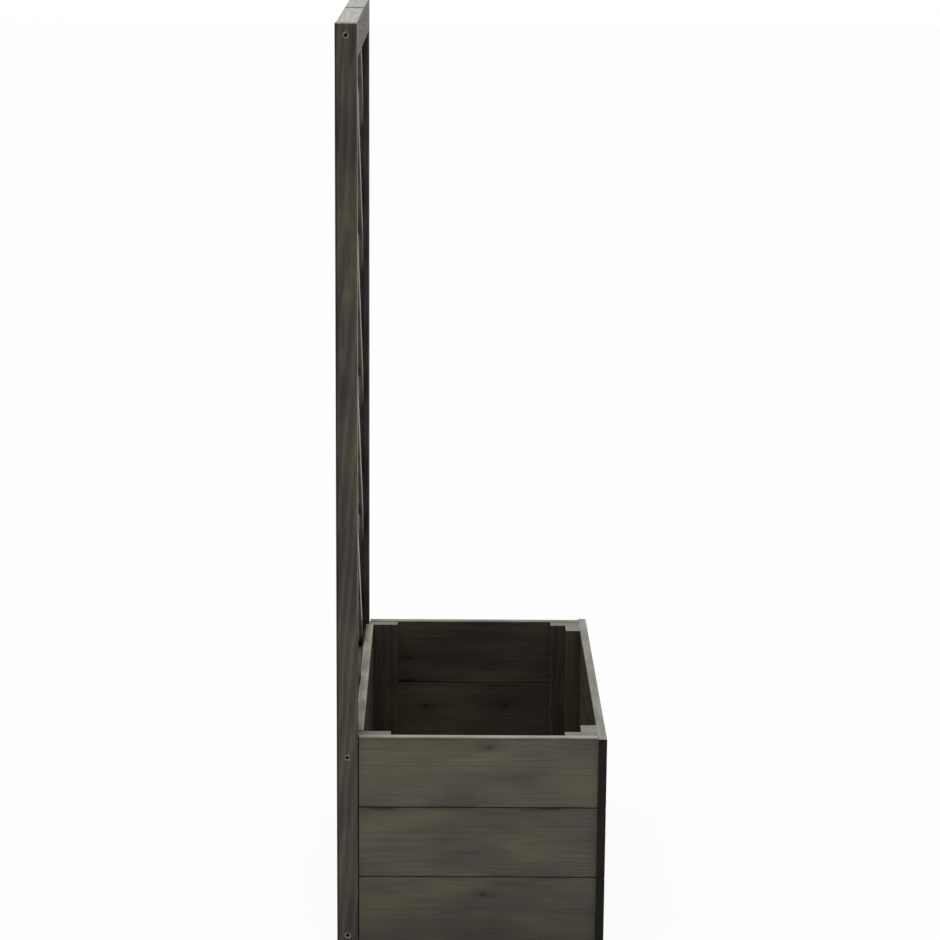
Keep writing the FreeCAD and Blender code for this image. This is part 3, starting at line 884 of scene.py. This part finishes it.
def cut_screw(look, radius, run):
    """One countersunk screw in a mesh of its own. Its head faces +Z at the origin, its shank goes down."""
    shape = bmesh.new()
    bmesh.ops.create_circle(shape, cap_ends=True, segments=HEAD_CORNERS, radius=radius)
    half_arm, reach = look.recess_width / 2, look.recess_reach
    for axis in (Vector((1, 0, 0)), Vector((0, 1, 0))):
        for offset in (-reach, -half_arm, half_arm, reach):
            geometry = shape.verts[:] + shape.edges[:] + shape.faces[:]
            bmesh.ops.bisect_plane(shape, geom=geometry, plane_co=axis * offset, plane_no=axis)
    rim = [edge for edge in shape.edges if edge.is_boundary]
    cells = []
    for face in shape.faces:
        middle = face.calc_center_median()
        near, far = sorted((abs(middle.x), abs(middle.y)))
        if near < half_arm and far < reach:
            cells.append(face)
    sunk = bmesh.ops.extrude_face_region(shape, geom=cells)
    floor = [item for item in sunk["geom"] if isinstance(item, bmesh.types.BMVert)]
    bmesh.ops.delete(shape, geom=cells, context="FACES")
    bmesh.ops.scale(shape, verts=floor, vec=(RECESS_FLOOR_SHARE, RECESS_FLOOR_SHARE, 1))
    bmesh.ops.translate(shape, verts=floor, vec=(0, 0, -look.recess_depth))
    # The recess wears the second, near-black material: stain in the cross and painted shade.
    for vert in floor:
        for face in vert.link_faces:
            face.material_index = 1
    neck = radius - radius * SHANK_SHARE
    for width, drop in ((SHANK_SHARE, neck), (1.0, run - neck)):
        grown = bmesh.ops.extrude_edge_only(shape, edges=rim)
        ring = [item for item in grown["geom"] if isinstance(item, bmesh.types.BMVert)]
        rim = [item for item in grown["geom"] if isinstance(item, bmesh.types.BMEdge)]
        bmesh.ops.scale(shape, verts=ring, vec=(width, width, 1))
        bmesh.ops.translate(shape, verts=ring, vec=(0, 0, -drop))
    bmesh.ops.contextual_create(shape, geom=rim)
    bmesh.ops.recalc_face_normals(shape, faces=shape.faces)
    return to_mesh("screw_pattern", shape)


def to_mesh(name, shape):
    """Turn a finished shape into a mesh and let the shape go."""
    mesh = bpy.data.meshes.new(name)
    shape.to_mesh(mesh)
    shape.free()
    return mesh


def set_screws(name, node, pattern, places):
    """One piece with a copy of the screw at each place, turned so that its head faces the way given."""
    shape = bmesh.new()
    for place, facing in places:
        known = set(shape.verts)
        shape.from_mesh(pattern)
        turn = Vector(facing).to_track_quat("Z", "Y").to_matrix().to_4x4()
        fresh = [vert for vert in shape.verts if vert not in known]
        bmesh.ops.transform(shape, matrix=Matrix.Translation(place) @ turn, verts=fresh)
    piece = bpy.data.objects.new(name, to_mesh(name, shape))
    bpy.context.scene.collection.objects.link(piece)
    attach(piece, BODY)
    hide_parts(node)
    return piece


class PLANTER_OT_posts(bpy.types.Operator):
    """Dress the two posts"""

    bl_idname = "planter.posts"
    bl_label = "Posts"

    def execute(self, context):
        dress_in_wood(POSTS, context.scene.planter_wood, POST_CUT)
        return {"FINISHED"}


class PLANTER_OT_rails(bpy.types.Operator):
    """Dress the three rails"""

    bl_idname = "planter.rails"
    bl_label = "Rails"

    def execute(self, context):
        dress_in_wood(RAILS, context.scene.planter_wood, RAIL_CUT)
        return {"FINISHED"}


class PLANTER_OT_lattice(bpy.types.Operator):
    """Dress the slats of the lattice"""

    bl_idname = "planter.lattice"
    bl_label = "Lattice"

    def execute(self, context):
        dress_in_wood(SLATS, context.scene.planter_wood, SLAT_CUT)
        return {"FINISHED"}


class PLANTER_OT_boards(bpy.types.Operator):
    """Dress the boards of the four walls"""

    bl_idname = "planter.boards"
    bl_label = "Boards"

    def execute(self, context):
        dress_in_wood(BOARDS, context.scene.planter_wood, BOARD_CUT)
        return {"FINISHED"}


class PLANTER_OT_corners(bpy.types.Operator):
    """Dress the cleats and battens in the corners"""

    bl_idname = "planter.corners"
    bl_label = "Corners"

    def execute(self, context):
        dress_in_wood(CORNERS, context.scene.planter_wood, CORNER_CUT)
        return {"FINISHED"}


class PLANTER_OT_floor(bpy.types.Operator):
    """Dress the floor slats and what carries them"""

    bl_idname = "planter.floor"
    bl_label = "Floor"

    def execute(self, context):
        dress_in_wood(FLOOR, context.scene.planter_wood, FLOOR_CUT)
        return {"FINISHED"}


class PLANTER_OT_screws(bpy.types.Operator):
    """Make the countersunk screws of the posts with their driver recesses"""

    bl_idname = "planter.screws"
    bl_label = "Screws"

    def execute(self, context):
        look = context.scene.planter_steel
        zinc = dulled_zinc("screw_zinc", look.zinc, STEEL_SHINE)
        grime_and_shade = dulled_zinc("recess_grime_and_shade", look.grime_and_shade, GRIME_AND_SHADE_SHINE)
        low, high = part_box("rail_screws")
        radius = (high.y - low.y) / 2
        rail_low, rail_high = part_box("lower_rail")
        heights = (low.z + radius, (rail_low.z + rail_high.z) / 2, high.z - radius)
        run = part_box("right_post")[1].x - rail_high.x + look.rail_bite
        places = [
            (Vector((side * high.x, (low.y + high.y) / 2, height)), (side, 0, 0))
            for side in BOTH_WAYS
            for height in heights
        ]
        piece = set_screws("rail_screw_set", "rail_screws", cut_screw(look, radius, run), places)
        wear_material(piece, zinc, grime_and_shade)

        low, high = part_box("post_screws")
        places = [
            (Vector((side * (high.x - radius), high.y, height)), (0, 1, 0))
            for side in BOTH_WAYS
            for height in (low.z + radius, high.z - radius)
        ]
        pattern = cut_screw(look, radius, high.y - low.y)
        piece = set_screws("post_screw_set", "post_screws", pattern, places)
        wear_material(piece, zinc, grime_and_shade)
        return {"FINISHED"}


class PLANTER_OT_brads(bpy.types.Operator):
    """Dress the wire brads"""

    bl_idname = "planter.brads"
    bl_label = "Brads"

    def execute(self, context):
        steel = dulled_zinc("brad_steel", context.scene.planter_steel.wire, STEEL_SHINE)
        for name in BRADS:
            wear_material(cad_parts[name], steel)
        return {"FINISHED"}


class PLANTER_OT_stage(bpy.types.Operator):
    """Lay the floor, light the planter and place the camera"""

    bl_idname = "planter.stage"
    bl_label = "Stage"

    def execute(self, context):
        scene = context.scene
        stage = scene.planter_stage
        scene.view_settings.view_transform = "Standard"
        lay_floor(stage)
        light_world(stage)
        hang_key(stage)
        place_camera(stage)
        return {"FINISHED"}


def seen_rays(start):
    """1 for what the eye sees, straight, in a reflection or through something clear, and 0 for light."""
    ray = start.add("ShaderNodeLightPath", output="Is Camera Ray")
    seen = ray.maths("MAXIMUM", ray, ray.other("Is Glossy Ray"))
    return seen.maths("MAXIMUM", seen, ray.other("Is Transmission Ray"))


def lay_floor(stage):
    """A plain white floor, which the camera sees nearly white with the planter's shadow on it."""
    shape = bmesh.new()
    bmesh.ops.create_grid(shape, x_segments=1, y_segments=1, size=stage.floor_size / 2)
    floor = bpy.data.objects.new("studio_floor", to_mesh("studio_floor", shape))
    bpy.context.scene.collection.objects.link(floor)
    material, shader = new_material("studio_floor")
    shader.inputs["Base Color"].default_value = (*stage.floor_colour, 1)
    shader.inputs["Roughness"].default_value = stage.floor_roughness
    tree = material.node_tree
    start = Socket(tree)
    lit = Socket(tree, shader.outputs[0])
    glow = start.add("ShaderNodeEmission", inputs={"Strength": 1.0})
    inputs = {0: seen_rays(start) * stage.floor_glow, 1: lit, 2: glow}
    start.add("ShaderNodeMixShader", inputs=inputs).feed(tree.nodes["Material Output"], "Surface")
    wear_material(floor, material)


def light_world(stage):
    """White to the eye and in reflections, and an even fill for everything else."""
    world = bpy.data.worlds.new("studio_light")
    bpy.context.scene.world = world
    world.use_nodes = True
    tree = world.node_tree
    tree.nodes.clear()
    start = Socket(tree)
    fill = start.add("ShaderNodeBackground", inputs={"Strength": stage.fill})
    white = start.add("ShaderNodeBackground", inputs={"Color": (1, 1, 1, 1), "Strength": 1.0})
    mixed = start.add("ShaderNodeMixShader", inputs={0: seen_rays(start), 1: fill, 2: white})
    mixed.feed(tree.nodes.new("ShaderNodeOutputWorld"), "Surface")


def hang_key(stage):
    """A broad soft light overhead, leaning a little to the planter's back."""
    lamp = bpy.data.lights.new("key_light", "SUN")
    lamp.energy = stage.key_strength
    lamp.angle = stage.key_breadth
    key = bpy.data.objects.new("key_light", lamp)
    key.location = KEY_PLACE
    key.rotation_euler = (-stage.key_lean, 0, 0)
    bpy.context.scene.collection.objects.link(key)


def place_camera(stage):
    """The camera stands off the planter's left end and looks a little down on it."""
    lens = bpy.data.cameras.new("camera")
    lens.lens = stage.lens
    lens.sensor_width = stage.sensor
    camera = bpy.data.objects.new("camera", lens)
    camera.location = stage.camera_place
    dip, swung = stage.camera_dip, stage.camera_swing
    ahead = Vector((math.cos(dip) * math.cos(swung), -math.cos(dip) * math.sin(swung), -math.sin(dip)))
    camera.rotation_mode = "QUATERNION"
    roll = Quaternion((0, 0, 1), stage.camera_roll)
    camera.rotation_quaternion = ahead.to_track_quat("-Z", "Y") @ roll
    bpy.context.scene.collection.objects.link(camera)
    bpy.context.scene.camera = camera


class PLANTER_PT_sidebar(bpy.types.Panel):
    """The planter's pieces and their looks."""

    bl_idname = "PLANTER_PT_sidebar"
    bl_label = "Planter"
    bl_space_type = "VIEW_3D"
    bl_region_type = "UI"
    bl_category = "Planter"

    def draw(self, context):
        for operator in OPERATORS:
            self.layout.operator(operator.bl_idname)
        for group in GROUPS:
            values = getattr(context.scene, group)
            for name in values.bl_rna.properties.keys():
                if name not in ("rna_type", "name"):
                    self.layout.prop(values, name)


GROUPS = {"planter_wood": PlanterWood, "planter_steel": PlanterSteel, "planter_stage": PlanterStage}
OPERATORS = (
    PLANTER_OT_posts,
    PLANTER_OT_rails,
    PLANTER_OT_lattice,
    PLANTER_OT_boards,
    PLANTER_OT_corners,
    PLANTER_OT_floor,
    PLANTER_OT_screws,
    PLANTER_OT_brads,
    PLANTER_OT_stage,
)
CLASSES = (*GROUPS.values(), *OPERATORS, PLANTER_PT_sidebar)


def register():
    for item in CLASSES:
        bpy.utils.register_class(item)
    for name, group in GROUPS.items():
        setattr(bpy.types.Scene, name, bpy.props.PointerProperty(type=group))


def unregister():
    for name in GROUPS:
        delattr(bpy.types.Scene, name)
    for item in reversed(CLASSES):
        bpy.utils.unregister_class(item)


def main():
    register()
    bpy.ops.planter.posts()
    bpy.ops.planter.rails()
    bpy.ops.planter.lattice()
    bpy.ops.planter.boards()
    bpy.ops.planter.corners()
    bpy.ops.planter.floor()
    bpy.ops.planter.screws()
    bpy.ops.planter.brads()
    bpy.ops.planter.stage()


if __name__ == "__main__":
    main()
